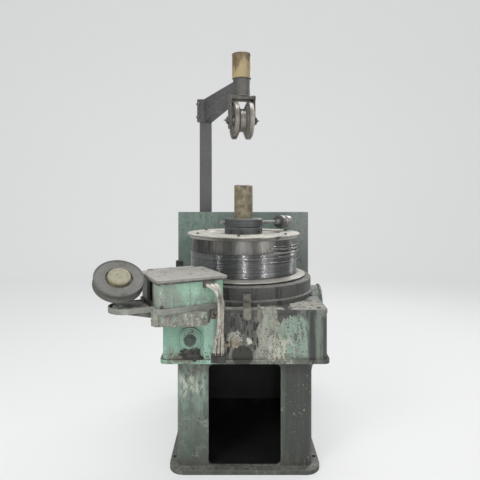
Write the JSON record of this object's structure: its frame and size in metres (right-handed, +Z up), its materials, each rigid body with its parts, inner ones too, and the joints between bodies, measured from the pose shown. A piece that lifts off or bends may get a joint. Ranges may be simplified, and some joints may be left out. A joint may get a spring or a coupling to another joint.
{
  "type": "wire drawing machine",
  "caption": "Upright wire drawing block: a hollow pedestal and gear housing under a flanged drum wound with wire, with a die box, guide wheel, flyer roller and overhead sheave.",
  "frame": {"origin": "on the drum's axis at floor level, under the pedestal's base plate", "axes": "+Z up along the drum's axis, +X to the right of a worker who faces the die box side, +Y to the back, away from that worker"},
  "size_m": [1.0781, 1.3252, 2.041],
  "materials": {
    "green_paint": "worn mint green enamel, oily, chipped to primer and rust",
    "dark_green_paint": "dull darker green sheet, streaked",
    "blue_grey_paint": "dull dark blue-grey paint",
    "khaki_paint": "dull khaki yellow paint, greasy",
    "greasy_iron": "dark oily cast iron",
    "dusty_iron": "iron under pale drawing powder",
    "polished_steel": "turned and polished, dark, streaked",
    "grey_steel": "worn grey steel",
    "wire": "bright drawn wire",
    "hose_rubber": "grey-brown dusty rubber"
  },
  "bodies": {
    "frame": {"pedestal": "green_paint", "gear_housing": "green_paint", "table_ring": "green_paint", "front_boss": "green_paint", "lower_port": "greasy_iron", "wide_strap": "grey_steel", "narrow_strap": "grey_steel", "rear_guard": "dark_green_paint", "guard_bracket": "greasy_iron", "rear_base": "green_paint", "post": "blue_grey_paint", "overhead_arm": "blue_grey_paint", "hanger_sleeve": "grey_steel", "hanger_pipe": "khaki_paint", "yoke": "grey_steel", "sheave_axle": "grey_steel", "die_bracket": "green_paint", "bracket_block": "greasy_iron", "box_tray": "grey_steel", "tray_gusset": "grey_steel", "die_box": "green_paint", "die_holder": "greasy_iron", "hinge_pin": "grey_steel", "wheel_arm": "green_paint", "wheel_axle": "grey_steel", "hose_fittings": "grey_steel", "hoses": "hose_rubber", "hose_manifold": "greasy_iron", "motor": "green_paint", "belt_guard": "green_paint"},
    "drum": {"spindle": "polished_steel", "drum_foot_ring": "dusty_iron", "drum_shell": "polished_steel", "wire_wraps": "wire", "drum_flange": "polished_steel", "hub_disc": "greasy_iron", "spindle_stub": "khaki_paint"},
    "flyer": {"flyer_ring": "greasy_iron", "clamp_screw": "greasy_iron", "flyer_rod": "grey_steel"},
    "flyer_roller": {"roller": "greasy_iron"},
    "overhead_wheel": {"sheave": "grey_steel"},
    "entry_wheel": {"guide_wheel": "grey_steel", "wheel_cap": "khaki_paint"},
    "box_lid": {"lid": "dusty_iron"}
  },
  "joints": [
    {"name": "drum_spin", "type": "hinge", "parent": "frame", "child": "drum", "pos_m": [0, 0, 0.868], "axis": [0, 0, 1], "continuous": true},
    {"name": "flyer_spin", "type": "hinge", "parent": "drum", "child": "flyer", "pos_m": [0, 0, 1.1293], "axis": [0, 0, 1], "continuous": true},
    {"name": "roller_spin", "type": "hinge", "parent": "flyer", "child": "flyer_roller", "pos_m": [0.22949, 0.09839, 1.1293], "axis": [0.5592, 0.829, 0], "continuous": true},
    {"name": "sheave_spin", "type": "hinge", "parent": "frame", "child": "overhead_wheel", "pos_m": [-0.01, 0, 1.682], "axis": [0.9848, 0.1736, 0], "continuous": true},
    {"name": "entry_wheel_spin", "type": "hinge", "parent": "frame", "child": "entry_wheel", "pos_m": [-0.52632, -0.58602, 0.92], "axis": [0.2668, -0.5237, 0.809], "continuous": true},
    {"name": "lid_hinge", "type": "hinge", "parent": "frame", "child": "box_lid", "pos_m": [-0.3467, -0.32839, 0.927], "axis": [-0.891, -0.454, 0], "range_deg": [0, 90]}
  ]
}
